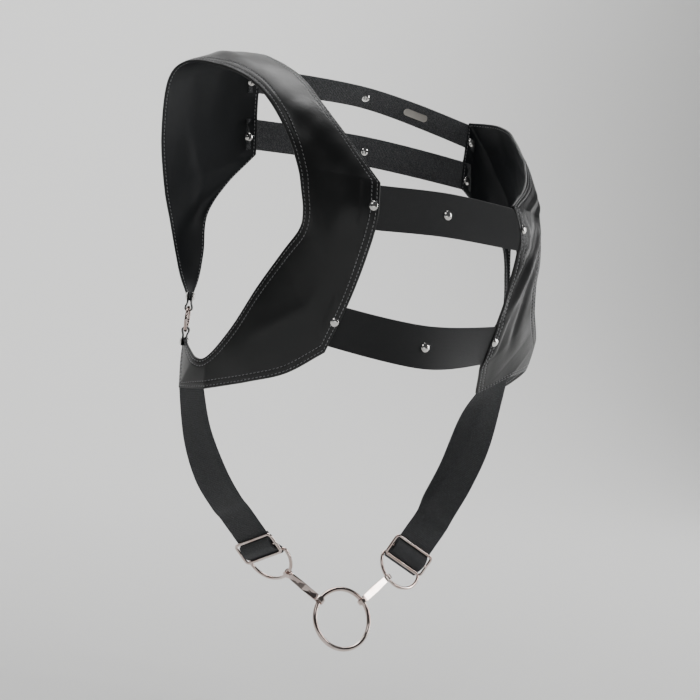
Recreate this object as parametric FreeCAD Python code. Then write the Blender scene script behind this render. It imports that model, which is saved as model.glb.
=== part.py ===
# A chest harness: two lined leather crescents that go round the arms, four webbing
# bands that join them, and two straps that hang down to a central ring.
# Millimetres, +Z up, front towards -Y, wearer's right side towards -X.
# The origin is on the shoulder line, midway between the two shoulders.

import FreeCAD, Part
import math
import os

V = FreeCAD.Vector
X, Z = V(1, 0, 0), V(0, 0, 1)

# Leather
outerThickness = 1.4
liningThickness = 1.0
tailEndWidth = 10.0         # where a tail narrows to go round its side ring
tailLoopLength = 15.0       # folded end of a tail, from the ring wire to its rivet and past it
tailLoopThickness = 1.2

# Webbing
frontBandWidth = 40.0
backUpperBandWidth = 25.0
backLowerBandWidth = 30.0
bandThickness = 1.6
bandTuck = 13.0             # how far a band's end goes in between leather and lining
strapWidth = 40.0
strapThickness = 1.6
strapTuck = 14.0            # how far a strap's top goes in between leather and lining

# Rivets and plate
rivetCap = 9.0
rivetDome = 2.2
rivetShank = 3.2
frontRivetInset = 6.0       # from the leather's edge to a band rivet's centre
backRivetInset = 8.0
plateLength = 28.0
plateHeight = 7.5
plateThickness = 1.0
platePlace = 53.0           # from the middle of the upper back band

# Rings, sliders, D-rings and links
sideRingOpening = 20.0
sideRingWire = 3.0
centreRingOpening = 54.4
centreRingWire = 4.6
sliderWire = 3.0
sliderHeight = 25.0
sliderTravel = 30.0
sliderSideGap = 1.8         # between strap edge and slider side wire
dRingWire = 3.4
dRingDepth = 28.0           # from the straight bar's middle line to the arc's
dRingSideGap = 2.2          # between strap edge and D-ring wire
linkWidth = 8.0
linkEyeWidth = 5.0
linkThickness = 1.2
linkEyeGap = 1.5            # free space round the wires that a link holds
linkSlotAngle = 37.5        # where the links hold the central ring, up from level
gap = 0.3                   # running gap between pieces that move past each other
endGap = 0.8                # between a strap and its straight lower end

# Places of the hanging hardware
sideRingCentre = V(178, 33, -244)
sideRingLean = 25.0         # how far a side ring's face is turned towards the back
centreRingCentre = V(0, -31.6, -517)
centreRingLean = 25.0       # the central ring's top leans back
sliderCentre = V(84.5, 3, -458.5)
strapHinge = V(0, 2, -385)  # the level about which the hanging straps flex

stepsPerSpan = 3            # sections between two stations of a leather or webbing outline

# Each crescent is a ribbon from the front tail at the side ring, round the underarm tip,
# up the chest, over the shoulder, down the back and along the back tail to the ring.
# A station is: point on the arm edge, point on the body edge, crown of the leather between
# them, and whether the body edge has a corner there.
wearersRight = [
    ((-180, 28, -262), (-176, 38, -262), 0, False),
    ((-178, 16, -270), (-176, 40, -282), 0, False),
    ((-176, -2, -277), (-178, 28, -310), 1, True),
    ((-170, -16, -273), (-167, -12, -305), 1, True),
    ((-159, -38, -243), (-137, -45, -291), 4, False),
    ((-147, -57, -203), (-110, -66, -278), 6, False),
    ((-134, -74, -168), (-83, -84, -254), 7, True),
    ((-126, -86, -146), (-73, -101, -203), 8, False),
    ((-127, -91, -130), (-69, -117, -157), 8, False),
    ((-132, -91, -110), (-68, -124, -126), 7, False),
    ((-137, -90, -93), (-69, -121, -96), 5, True),
    ((-148, -83, -66), (-88, -98, -67), 5, False),
    ((-161, -65, -38), (-107, -73, -38), 6, False),
    ((-172, -39, -20), (-124, -39, -7), 6, False),
    ((-191, 2, -5), (-141, 5, 12), 5, False),
    ((-212, 36, -4), (-139, 42, 16), 5, False),
    ((-221, 56, -22), (-127, 64, 12), 5, True),
    ((-217, 67, -72), (-122, 68, -34), 5, False),
    ((-205, 72, -124), (-119, 64, -75), 5, True),
    ((-196, 71, -152), (-142, 70, -107), 5, False),
    ((-189, 67, -178), (-160, 66, -141), 3, False),
    ((-184, 55, -203), (-161, 60, -178), 2, False),
    ((-181, 40, -218), (-166, 50, -205), 1, False),
    ((-180, 28, -226), (-176, 38, -226), 0, False),
]
wearersLeft = [
    ((180, 28, -262), (176, 38, -262), 0, False),
    ((181, 16, -262), (178, 25, -277), 0, False),
    ((178, -11, -244), (177, -2, -266), 0, False),
    ((171, -36, -230), (167, -34, -253), 1, False),
    ((160, -56, -218), (132, -60, -260), 2, True),
    ((148, -70, -203), (96, -63, -279), 4, True),
    ((138, -79, -187), (83, -84, -253), 4, True),
    ((133, -84, -165), (86, -100, -203), 3, False),
    ((131, -88, -142), (85, -114, -160), 4, False),
    ((129, -87, -121), (82, -121, -126), 5, False),
    ((127, -83, -104), (70, -121, -96), 4, True),
    ((130, -69, -88), (97, -95, -75), 4, False),
    ((135, -47, -77), (110, -70, -53), 4, False),
    ((144, -21, -78), (121, -40, -36), 4, False),
    ((157, 8, -77), (130, 0, -14), 4, False),
    ((171, 34, -83), (134, 38, -3), 4, False),
    ((182, 51, -93), (122, 73, -1), 5, True),
    ((186, 58, -101), (119, 69, -38), 5, False),
    ((188, 61, -110), (117, 64, -71), 4, True),
    ((189, 62, -120), (148, 68, -92), 4, False),
    ((190, 60, -140), (178, 62, -122), 3, False),
    ((191, 53, -174), (184, 54, -164), 2, False),
    ((187, 37, -208), (181, 46, -203), 1, False),
    ((180, 28, -226), (176, 38, -226), 0, False),
]

# Each band's upper edge meets the body edge at a station; its lower edge is found from its
# width, towards lower stations at the front and higher ones at the back.
bandStations = {
    "front_upper_band": (9.93, -1),
    "front_lower_band": (6.85, -1),
    "back_upper_band": (16.05, 1),
    "back_lower_band": (17.15, 1),
}
bandMiddles = {             # a band's middle point, and how far its top leans back
    "front_upper_band": (V(0, -127, -115), 4),
    "front_lower_band": (V(0, -120, -237), 2),
    "back_upper_band": (V(0, 81, 4), -38),
    "back_lower_band": (V(0, 66, -52), -10),
}
bandWidths = {
    "front_upper_band": frontBandWidth,
    "front_lower_band": frontBandWidth,
    "back_upper_band": backUpperBandWidth,
    "back_lower_band": backLowerBandWidth,
}

# Hanging straps, from the tip down: middle line and the direction across towards the
# wearer's middle. The last direction is also the slider's and the D-ring's.
strapsRight = {
    "rearStation": 2.0,
    "middle": [V(-163, 4, -350), V(-144, 4, -388), V(-124, 5, -414)],
    "across": [V(13, -34, 17), V(18, -31, 17), V(16, -32, 20)],
    "down": V(0.66, -0.12, -0.74),
    "bar": V(0.32, -0.77, 0.55),
}
strapsLeft = {
    "rearStation": 4.0,
    "middle": [V(117, -36, -325), V(114, -18, -370), V(106, -6, -405)],
    "across": [V(-36, 9, 12), V(-35, 12, 16), V(-33, 8, 18)],
    "down": V(-0.47, 0.08, -0.88),
    "bar": V(-0.85, 0.12, 0.50),
}


def unit(vector):
    return vector * (1.0 / vector.Length)


def square(direction, other):
    """The part of direction that is square to other, at unit length."""
    other = unit(other)
    return unit(direction - other * direction.dot(other))


def curvePoint(points, corners, place):
    """A point on a smooth curve through points, with sharp turns at its corners."""
    first = min(int(place), len(points) - 2)
    t = place - first
    p1, p2 = points[first], points[first + 1]
    p0 = p1 * 2 - p2 if first == 0 or corners[first] else points[first - 1]
    last = first + 2
    p3 = p2 * 2 - p1 if last == len(points) or corners[first + 1] else points[last]
    linear = (p2 - p0) * t
    bent = (p0 * 2 - p1 * 5 + p2 * 4 - p3) * t ** 2
    cubic = (p1 * 3 - p0 - p2 * 3 + p3) * t ** 3
    return (p1 * 2 + linear + bent + cubic) * 0.5


class Ribbon:
    """A wide strip between two edges, with a crown; outside is the side it faces."""

    def __init__(self, edgeA, edgeB, crowns, corners, outside):
        self.edgeA = [V(*p) for p in edgeA]
        self.edgeB = [V(*p) for p in edgeB]
        self.crowns = [V(c, 0, 0) for c in crowns]
        self.corners = corners
        self.outside = outside
        self.smooth = [False] * len(corners)
        self.end = len(corners) - 1

    def frameAt(self, place):
        a = curvePoint(self.edgeA, self.smooth, place)
        b = curvePoint(self.edgeB, self.corners, place)
        crown = curvePoint(self.crowns, self.smooth, place).x
        before = max(place - 0.3, 0)
        after = min(place + 0.3, self.end)
        middles = []
        for spot in (before, after):
            near = curvePoint(self.edgeA, self.smooth, spot)
            far = curvePoint(self.edgeB, self.corners, spot)
            middles.append((near + far) * 0.5)
        normal = unit((middles[1] - middles[0]).cross(b - a)) * self.outside
        return a, b, crown, normal

    def pointAt(self, place, share, lift=0.0):
        a, b, crown, normal = self.frameAt(place)
        height = 4 * share * (1 - share) * crown + lift
        return a + (b - a) * share + normal * height

    def inFromBodyEdge(self, place, distance, lift=0.0):
        a, b, crown, normal = self.frameAt(place)
        return self.pointAt(place, 1 - distance / (b - a).Length, lift)

    def stationAcross(self, station, width, direction):
        """The station whose body-edge point is one width away from the given one's."""
        step = 0.01 * direction
        place = station
        start = self.pointAt(station, 1)
        while (self.pointAt(place, 1) - start).Length < width:
            place += step
        return place

    def section(self, place, low, high):
        below = [self.pointAt(place, share, low) for share in (0, 0.5, 1)]
        above = [self.pointAt(place, share, high) for share in (1, 0.5, 0)]
        edges = []
        for points in (below, above):
            curve = Part.BSplineCurve()
            curve.interpolate(points)
            edges.append(curve.toShape())
        joinB = Part.makeLine(below[-1], above[0])
        joinA = Part.makeLine(above[-1], below[0])
        return Part.Wire([edges[0], joinB, edges[1], joinA])

    def solid(self, low, high, steps=stepsPerSpan):
        count = self.end * steps
        wires = [self.section(i / steps, low, high) for i in range(count + 1)]
        return Part.makeLoft(wires, True, True)


def save(name, shape):
    shape.exportStep("parts/" + name + ".step")
    print(name, "solids", len(shape.Solids), "volume %.0f" % shape.Volume, shape.isValid())


def rod(start, end, radius):
    axis = end - start
    return Part.makeCylinder(radius, axis.Length, start, axis)


def crescentRibbon(stations, outside):
    edgeA, edgeB, crowns, corners = zip(*stations)
    return Ribbon(edgeA, edgeB, crowns, corners, outside)


def rivet(centre, normal, grip):
    """A double-cap rivet whose two domes clamp a stack of the given thickness."""
    normal = unit(normal)
    radius = rivetCap / 2
    ball = (radius ** 2 + rivetDome ** 2) / (2 * rivetDome)
    shape = rod(centre - normal * (grip / 2), centre + normal * (grip / 2), rivetShank / 2)
    for side in (1, -1):
        face = centre + normal * (side * grip / 2)
        sphere = Part.makeSphere(ball, face - normal * (side * (ball - rivetDome)))
        disc = rod(face, face + normal * (side * rivetDome * 1.5), radius)
        shape = shape.fuse(sphere.common(disc))
    return shape.removeSplitter()


# Crescents: outer leather and lining, face to face.
crescents = {
    "right": crescentRibbon(wearersRight, -1),
    "left": crescentRibbon(wearersLeft, 1),
}
signs = {"right": -1, "left": 1}
leather = outerThickness + liningThickness


def sideRingPlace(side):
    sign = signs[side]
    centre = V(sign * sideRingCentre.x, sideRingCentre.y, sideRingCentre.z)
    lean = math.radians(sideRingLean)
    return centre, V(sign * math.cos(lean), math.sin(lean), 0)


def tailLoop(side, up):
    """The folded end of a tail, round the ring wire, with its two plies brought together."""
    centre, face = sideRingPlace(side)
    across = unit(face.cross(Z))
    ringRadius = (sideRingOpening + sideRingWire) / 2
    sag = ringRadius - math.sqrt(ringRadius ** 2 - (tailEndWidth / 2) ** 2)
    wire = centre + Z * (up * (ringRadius - sag / 2))
    loopRadius = sideRingWire / 2 + sag / 2 + 2 * gap + tailLoopThickness / 2
    apart = leather / 2 + tailLoopThickness / 2
    path = []
    for outward, down in ((apart, tailLoopLength), (apart, loopRadius * 1.6)):
        path.append(wire + face * outward + Z * (up * down))
    for step in range(7):
        turn = math.radians(25 - 230 * step / 6)
        path.append(wire + (face * math.cos(turn) + Z * (up * math.sin(turn))) * loopRadius)
    for outward, down in ((-apart, loopRadius * 1.6), (-apart, tailLoopLength)):
        path.append(wire + face * outward + Z * (up * down))
    half = across * (tailEndWidth / 2)
    edgeA = [p - half for p in path]
    edgeB = [p + half for p in path]
    strip = Ribbon(edgeA, edgeB, [0] * len(path), [False] * len(path), 1)
    rivetPoint = wire + Z * (up * (tailLoopLength - rivetCap * 0.45))
    grip = leather + 2 * tailLoopThickness
    return strip.solid(-tailLoopThickness / 2, tailLoopThickness / 2, 2), rivetPoint, face, grip


def crescentPieces(side):
    ribbon = crescents[side]
    save("leather_" + side, ribbon.solid(0, outerThickness))
    save("lining_" + side, ribbon.solid(-liningThickness, 0))
    rivets = []
    for name, up in (("front", -1), ("back", 1)):
        loop, point, face, grip = tailLoop(side, up)
        save(name + "_tail_loop_" + side, loop)
        rivets.append(rivet(point, face, grip))
    save("tail_rivets_" + side, Part.makeCompound(rivets))
    centre, face = sideRingPlace(side)
    ringRadius = (sideRingOpening + sideRingWire) / 2
    save("side_ring_" + side, Part.makeTorus(ringRadius, sideRingWire / 2, centre, face))


def bandPieces(name):
    """A webbing band whose ends lie between leather and lining, and its three rivets."""
    top, direction = bandStations[name]
    middle, lean = bandMiddles[name]
    width = bandWidths[name]
    tilt = math.radians(lean)
    rise = V(0, math.sin(tilt), math.cos(tilt)) * (width / 2)
    lift = (outerThickness - liningThickness) / 2
    outside = 1 if middle.y > 0 else -1
    edges = {"right": ([], [], []), "left": ([], [], [])}
    rivets = []
    rivetInset = frontRivetInset if outside < 0 else backRivetInset
    for side, (upper, lower, crowns) in edges.items():
        ribbon = crescents[side]
        bottom = ribbon.stationAcross(top, width, direction)
        halfway = (top + bottom) / 2
        for inset in (bandTuck, bandTuck / 2, 0):
            high = ribbon.inFromBodyEdge(top, inset, lift)
            low = ribbon.inFromBodyEdge(bottom, inset, lift)
            between = ribbon.inFromBodyEdge(halfway, inset, lift)
            upper.append(high)
            lower.append(low)
            normal = ribbon.frameAt(halfway)[3]
            crowns.append((between - (high + low) * 0.5).dot(normal))
        centre = ribbon.inFromBodyEdge(halfway, rivetInset, lift)
        rivets.append(rivet(centre, ribbon.frameAt(halfway)[3], leather + bandThickness))
    upper = edges["right"][0] + [middle + rise] + edges["left"][0][::-1]
    lower = edges["right"][1] + [middle - rise] + edges["left"][1][::-1]
    crowns = edges["right"][2] + [0] + edges["left"][2][::-1]
    band = Ribbon(upper, lower, crowns, [False] * len(upper), outside)
    save(name, band.solid(-bandThickness / 2, bandThickness / 2, 4))
    rivets.append(rivet(band.pointAt(3, 0.5), band.frameAt(3)[3], bandThickness))
    save(name.replace("band", "rivets"), Part.makeCompound(rivets))
    return band


def plate(band):
    """A blank plate with rounded ends on the inner face of the upper back band."""
    span = (band.pointAt(4, 0.5) - band.pointAt(3, 0.5)).Length
    place = 3 + platePlace / span
    centre = band.pointAt(place, 0.5, -bandThickness / 2)
    normal = band.frameAt(place)[3] * -1
    along = square(band.pointAt(place + 0.1, 0.5) - band.pointAt(place, 0.5), normal)
    up = normal.cross(along)
    radius = plateHeight / 2
    reach = along * (plateLength / 2 - radius)
    left, right = centre - reach, centre + reach
    corners = [left + up * radius, right + up * radius, right - up * radius, left - up * radius]
    outline = Part.Wire([
        Part.makeLine(corners[0], corners[1]),
        Part.Arc(corners[1], right + along * radius, corners[2]).toShape(),
        Part.makeLine(corners[2], corners[3]),
        Part.Arc(corners[3], left - along * radius, corners[0]).toShape(),
    ])
    shape = Part.Face(outline).extrude(normal * plateThickness)
    for end in (left, right):
        shape = shape.fuse(rod(end, end - normal * bandThickness, 0.6))
    return shape.removeSplitter()


def loopFrame(side):
    """Place and directions of the hardware at one strap's lower end."""
    strap = strapsRight if side == "right" else strapsLeft
    sign = signs[side]
    centre = V(sign * sliderCentre.x, sliderCentre.y, sliderCentre.z)
    down = unit(strap["down"])
    bar = square(strap["bar"], down)
    front = unit(bar.cross(down)) * sign
    return centre, down, bar, front


strapDepth = sliderWire / 2 + gap + strapThickness / 2      # strap's middle, behind the slider
dBarDepth = strapDepth + strapThickness / 2 + 2 * gap + dRingWire / 2
dBarDrop = sliderHeight / 2 - sliderWire / 2     # level with the slider's lowest bar
ringRadius = (centreRingOpening + centreRingWire) / 2
dRingHalf = strapWidth / 2 + dRingSideGap + dRingWire / 2


def centreRingAxes():
    lean = math.radians(centreRingLean)
    rise = V(0, math.sin(lean), math.cos(lean))
    return rise, V(0, -math.cos(lean), math.sin(lean))


def ringContact(side):
    """Where a link holds the central ring's wire, and the wire's direction there."""
    rise, face = centreRingAxes()
    angle = math.radians(linkSlotAngle)
    outward = X * (signs[side] * math.cos(angle)) + rise * math.sin(angle)
    return centreRingCentre + outward * ringRadius, face.cross(outward)


def dRingPlace(side):
    """The D-ring's bar centre, bar direction and the direction in which it hangs."""
    centre, down, bar, front = loopFrame(side)
    barCentre = centre + down * dBarDrop - front * dBarDepth
    hang = square(ringContact(side)[0] - barCentre, bar)
    return barCentre, bar, hang


def dRingContact(side):
    """Where a link holds the D-ring's arc, and the wire's direction there."""
    barCentre, bar, hang = dRingPlace(side)
    arcCentre = barCentre + hang * (dRingDepth - dRingHalf)
    pull = ringContact(side)[0] - arcCentre
    outward = unit(bar * pull.dot(bar) + hang * pull.dot(hang))
    return arcCentre + outward * dRingHalf, bar.cross(hang).cross(outward)


def hangingStrap(side):
    """The long part of a strap, from between the leather at the tip to the slider."""
    strap = strapsRight if side == "right" else strapsLeft
    ribbon = crescents[side]
    lift = (outerThickness - liningThickness) / 2
    rear = strap["rearStation"]
    front = ribbon.stationAcross(rear, strapWidth, 1)
    insets = (strapTuck, strapTuck / 2, 0)
    edgeA = [ribbon.inFromBodyEdge(rear, inset, lift) for inset in insets]
    edgeB = [ribbon.inFromBodyEdge(front, inset, lift) for inset in insets]
    centre, down, bar, face = loopFrame(side)
    middles = list(strap["middle"])
    across = list(strap["across"])
    topOfEnd = centre - down * (sliderHeight / 2 + sliderTravel + endGap) - face * strapDepth
    middles += [topOfEnd - down * 8, topOfEnd]
    across += [bar, bar]
    for middle, direction in zip(middles, across):
        half = unit(direction) * (strapWidth / 2)
        edgeA.append(middle - half)
        edgeB.append(middle + half)
    count = len(edgeA)
    strip = Ribbon(edgeA, edgeB, [0] * count, [False] * count, 1)
    save("strap_" + side, strip.solid(-strapThickness / 2, strapThickness / 2, 5))


def strapEnd(side):
    """The straight lower end of a strap, looped round the D-ring's bar and sewn back."""
    centre, down, bar, front = loopFrame(side)
    top = sliderHeight / 2 + sliderTravel
    loopRadius = dRingWire / 2 + 2 * gap + strapThickness / 2
    returnDepth = strapDepth + strapThickness + gap
    path = [(-top, strapDepth), (-top / 2, strapDepth), (0, strapDepth), (dBarDrop, strapDepth)]
    for step in range(1, 7):
        turn = math.radians(90 - 30 * step)
        path.append((dBarDrop + loopRadius * math.cos(turn),
                     dBarDepth - loopRadius * math.sin(turn)))
    path += [(0, returnDepth), (-sliderHeight / 2, returnDepth)]
    points = [centre + down * along - front * deep for along, deep in path]
    half = bar * (strapWidth / 2)
    edgeA = [p - half for p in points]
    edgeB = [p + half for p in points]
    corners = [False] * len(points)
    strip = Ribbon(edgeA, edgeB, [0] * len(points), corners, 1)
    save("strap_end_" + side, strip.solid(-strapThickness / 2, strapThickness / 2, 2))


def sliderPieces(side):
    """A three-bar slider and the turn of webbing over its middle bar."""
    centre, down, bar, front = loopFrame(side)
    radius = sliderWire / 2
    halfWidth = strapWidth / 2 + sliderSideGap + radius
    halfHeight = sliderHeight / 2 - radius
    bend = sliderWire
    shape = rod(centre - bar * halfWidth, centre + bar * halfWidth, radius)
    for sx in (-1, 1):
        side1 = centre + bar * (sx * halfWidth)
        drop = down * (halfHeight - bend)
        shape = shape.fuse(rod(side1 - drop, side1 + drop, radius))
        flat = centre + down * (sx * halfHeight)
        reach = bar * (halfWidth - bend)
        shape = shape.fuse(rod(flat - reach, flat + reach, radius))
        for sy in (-1, 1):
            middle = centre + bar * (sx * (halfWidth - bend)) + down * (sy * (halfHeight - bend))
            start = middle + bar * (sx * bend)
            finish = middle + down * (sy * bend)
            half = unit(bar * sx + down * sy) * bend
            arc = Part.Arc(start, middle + half, finish).toShape()
            circle = Part.Wire(Part.makeCircle(radius, start, down))
            elbow = Part.Wire(arc).makePipeShell([circle], True, False)
            shape = shape.fuse(elbow)
    save("slider_" + side, shape.removeSplitter())
    over = radius + gap + strapThickness / 2
    foot = halfHeight - radius - gap - strapThickness * 0.8
    low = strapDepth - strapThickness - gap
    path = [(-foot, -low), (-foot * 0.55, over * 0.55), (0, over), (foot * 0.55, over * 0.55), (foot, -low)]
    points = [centre + down * along + front * lift for along, lift in path]
    half = bar * (strapWidth / 2)
    strip = Ribbon([p - half for p in points], [p + half for p in points],
                   [0] * len(points), [False] * len(points), 1)
    save("slider_turn_" + side, strip.solid(-strapThickness / 2, strapThickness / 2, 3))


def dRing(side):
    """A straight bar, two short legs and a half circle of round wire."""
    barCentre, bar, hang = dRingPlace(side)
    radius = dRingWire / 2
    near, far = barCentre + bar * dRingHalf, barCentre - bar * dRingHalf
    leg = hang * (dRingDepth - dRingHalf)
    arc = Part.Arc(near + leg, barCentre + hang * dRingDepth, far + leg).toShape()
    path = Part.Wire([Part.makeLine(near, near + leg), arc, Part.makeLine(far + leg, far)])
    profile = Part.Wire(Part.makeCircle(radius, near, hang))
    shape = path.makePipeShell([profile], True, False)
    shape = shape.fuse(rod(far, near, radius))
    for end in (near, far):
        shape = shape.fuse(Part.makeSphere(radius, end))
    save("d_ring_" + side, shape)


def link(side):
    """A folded strip with an eye round the D-ring's arc and an eye round the central ring."""
    top, topAlong = dRingContact(side)
    low, lowAlong = ringContact(side)
    pull = unit(low - top)
    eyes = [(top, square(topAlong, pull), dRingWire / 2, 1), (low, square(lowAlong, pull), centreRingWire / 2, -1)]
    if eyes[0][1].dot(eyes[1][1]) < 0:
        eyes[1] = (low, eyes[1][1] * -1, centreRingWire / 2, -1)
    outer, bores, frames = [], [], []
    for point, along, wireRadius, towards in eyes:
        bore = wireRadius + linkEyeGap
        half = along * (linkEyeWidth / 2)
        outer.append(rod(point - half, point + half, bore + linkThickness))
        bores.append(rod(point - half * 1.4, point + half * 1.4, bore))
        thick = pull.cross(along) * linkThickness
        for distance, width in ((bore + linkThickness / 2, linkEyeWidth), (bore + linkThickness * 3, linkWidth)):
            base = point + pull * (towards * distance)
            wide = along * (width / 2)
            corners = [base + wide + thick, base - wide + thick, base - wide - thick, base + wide - thick]
            frames.append(Part.makePolygon(corners + [corners[0]]))
    frames = [frames[0], frames[1], frames[3], frames[2]]
    shape = Part.makeLoft(frames, True, True)
    for piece in outer:
        shape = shape.fuse(piece)
    for bore in bores:
        shape = shape.cut(bore)
    save("link_" + side, shape)


os.makedirs("parts", exist_ok=True)
for side in ("right", "left"):
    crescentPieces(side)
    hangingStrap(side)
    strapEnd(side)
    sliderPieces(side)
    dRing(side)
    link(side)
bands = {name: bandPieces(name) for name in bandStations}
save("plate", plate(bands["back_upper_band"]))
save("centre_ring", Part.makeTorus(ringRadius, centreRingWire / 2, centreRingCentre, centreRingAxes()[1]))

print("joint places, mm")
for side in ("right", "left"):
    centre, down, bar, front = loopFrame(side)
    print(side, "side ring", *sideRingPlace(side))
    print(side, "slider along", down * -1)
    print(side, "D-ring", dRingPlace(side)[0], "bar", bar)
    print(side, "link top", dRingContact(side)[0], "link foot", ringContact(side)[0])
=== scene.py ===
import math

import bpy
import numpy as np
from mathutils import Matrix, Vector


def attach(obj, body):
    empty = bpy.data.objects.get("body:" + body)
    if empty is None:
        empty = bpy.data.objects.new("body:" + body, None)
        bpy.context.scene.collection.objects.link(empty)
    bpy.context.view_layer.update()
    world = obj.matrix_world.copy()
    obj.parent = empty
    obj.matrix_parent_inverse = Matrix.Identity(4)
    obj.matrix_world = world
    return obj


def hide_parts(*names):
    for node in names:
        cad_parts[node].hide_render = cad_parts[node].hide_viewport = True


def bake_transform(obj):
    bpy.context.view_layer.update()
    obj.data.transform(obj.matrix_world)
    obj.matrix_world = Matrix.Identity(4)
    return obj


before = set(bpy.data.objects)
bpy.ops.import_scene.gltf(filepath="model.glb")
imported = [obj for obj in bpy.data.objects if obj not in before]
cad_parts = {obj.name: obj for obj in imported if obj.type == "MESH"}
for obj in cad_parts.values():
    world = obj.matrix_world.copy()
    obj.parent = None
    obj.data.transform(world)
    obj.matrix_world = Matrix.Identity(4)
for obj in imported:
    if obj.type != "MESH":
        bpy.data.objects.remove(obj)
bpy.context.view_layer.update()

mm = 0.001


def unit(vector):
    vector = np.asarray(vector, float)
    return vector / np.linalg.norm(vector, axis=-1, keepdims=True)


def square(direction, other):
    other = unit(other)
    return unit(direction - other * np.dot(direction, other))


def smoothStep(low, high, value):
    t = np.clip((value - low) / (high - low), 0, 1)
    return t * t * (3 - 2 * t)


def bump(value, centre, width):
    return np.exp(-((value - centre) / width) ** 2)


# Points on a smooth curve through the given ones, sharp at its corners.
def curveAt(points, corners, places):
    points = np.asarray(points, float)
    corners = np.asarray(corners, bool)
    last = len(points) - 1
    places = np.clip(np.asarray(places, float), 0, last)
    first = np.minimum(places.astype(int), last - 1)
    t = (places - first)[..., None]
    p1, p2 = points[first], points[first + 1]
    sharpStart = ((first == 0) | corners[first])[..., None]
    sharpEnd = ((first + 1 == last) | corners[first + 1])[..., None]
    p0 = np.where(sharpStart, 2 * p1 - p2, points[np.maximum(first - 1, 0)])
    p3 = np.where(sharpEnd, 2 * p2 - p1, points[np.minimum(first + 2, last)])
    bent = (2 * p0 - 5 * p1 + 4 * p2 - p3) * t ** 2
    cubic = (3 * p1 - p0 - 3 * p2 + p3) * t ** 3
    return (2 * p1 + (p2 - p0) * t + bent + cubic) * 0.5


# A wide strip between two edges with a crown, and a relief that lifts its surface.
class Ribbon:
    def __init__(self, edgeA, edgeB, crowns=None, corners=None, outside=1, relief=None):
        count = len(edgeA)
        self.edgeA = np.asarray(edgeA, float)
        self.edgeB = np.asarray(edgeB, float)
        self.crowns = np.asarray(crowns if crowns is not None else [0] * count, float)
        self.corners = corners if corners is not None else [False] * count
        self.smooth = [False] * count
        self.outside = outside
        self.relief = relief
        self.end = count - 1

    def edges(self, places):
        return curveAt(self.edgeA, self.smooth, places), curveAt(self.edgeB, self.corners, places)

    def frame(self, places):
        a, b = self.edges(places)
        crown = curveAt(self.crowns[:, None], self.smooth, places)[..., 0]
        before = sum(self.edges(np.maximum(places - 0.3, 0))) / 2
        after = sum(self.edges(np.minimum(places + 0.3, self.end))) / 2
        return a, b, crown, unit(np.cross(after - before, b - a)) * self.outside

    def point(self, places, shares, lift=0.0):
        places = np.asarray(places, float)
        shares = np.asarray(shares, float)
        a, b, crown, normal = self.frame(places)
        height = 4 * shares * (1 - shares) * crown + lift
        if self.relief:
            height = height + self.relief(self, places, shares)
        return a + (b - a) * shares[..., None] + normal * height[..., None]

    def width(self, places):
        a, b = self.edges(places)
        return np.linalg.norm(b - a, axis=-1)

    # A point at a distance in from the body edge.
    def inset(self, place, distance, lift=0.0):
        return self.point(place, 1 - distance / self.width(place), lift)

    def stationAcross(self, station, width, direction):
        place = station
        start = self.edges(np.array(station))[1]
        while np.linalg.norm(self.edges(np.array(place))[1] - start) < width:
            place += 0.01 * direction
        return place

    # Places about one pitch apart along the middle, with the stations among them.
    def evenPlaces(self, pitch):
        places = [0.0]
        for span in range(self.end):
            fine = np.linspace(span, span + 1, 9)
            middle = sum(self.edges(fine)) / 2
            reach = max(np.linalg.norm(np.diff(line, axis=0), axis=1).sum()
                        for line in (middle, self.edges(fine)[1]))
            steps = max(2, round(reach / pitch))
            places += list(span + np.arange(1, steps + 1) / steps)
        return np.array(places)


# A closed mesh from millimetre points, facing outwards, with a pattern map in millimetres.
def meshObject(name, vertices, faces, uvs=None, smooth=True):
    data = bpy.data.meshes.new(name)
    vertices = np.asarray(vertices, float).reshape(-1, 3)
    data.from_pydata((vertices * mm).tolist(), [], [list(f) for f in faces])
    if uvs is not None:
        uvs = np.asarray(uvs, float).reshape(-1, 2)
        layer = data.uv_layers.new(name="pattern")
        corners = np.zeros(len(data.loops), int)
        data.loops.foreach_get("vertex_index", corners)
        layer.data.foreach_set("uv", uvs[corners].ravel().astype(np.float32))
    data.polygons.foreach_set("use_smooth", [smooth] * len(data.polygons))
    faceOutwards(data)
    thing = bpy.data.objects.new(name, data)
    bpy.context.scene.collection.objects.link(thing)
    return thing


def signedVolume(data):
    data.calc_loop_triangles()
    corners = np.zeros(len(data.loop_triangles) * 3, int)
    data.loop_triangles.foreach_get("vertices", corners)
    points = np.zeros(len(data.vertices) * 3)
    data.vertices.foreach_get("co", points)
    p = points.reshape(-1, 3)[corners].reshape(-1, 3, 3)
    p = p - points.reshape(-1, 3).mean(axis=0)
    return np.einsum("ij,ij->i", p[:, 0], np.cross(p[:, 1], p[:, 2])).sum()


def faceOutwards(data):
    if signedVolume(data) < 0:
        data.flip_normals()
    data.update()


# Quads between rings of points, each ring one after another in the list.
def ringFaces(rows, count, closed=False):
    faces = []
    for i in range(rows if closed else rows - 1):
        here, ahead = i * count, (i + 1) % rows * count
        for j in range(count):
            k = (j + 1) % count
            faces.append((here + j, here + k, ahead + k, ahead + j))
    return faces


# A closed strip: top and bottom are grids of points with the same edges' order.
def loopMesh(name, top, bottom, uTop, vTop):
    rows, count = top.shape[:2]
    rings = np.concatenate([top, bottom[:, ::-1]], axis=1)
    size = 2 * count
    faces = ringFaces(rows, size)
    for i in (0, rows - 1):
        base = i * size
        for j in range(count - 1):
            face = (base + j, base + size - 1 - j, base + size - 2 - j, base + j + 1)
            faces.append(face if i == 0 else face[::-1])
    uv = np.stack([np.concatenate([uTop, uTop], axis=1),
                   np.concatenate([vTop, vTop[:, ::-1]], axis=1)], axis=-1)
    return meshObject(name, rings, faces, uv)


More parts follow.
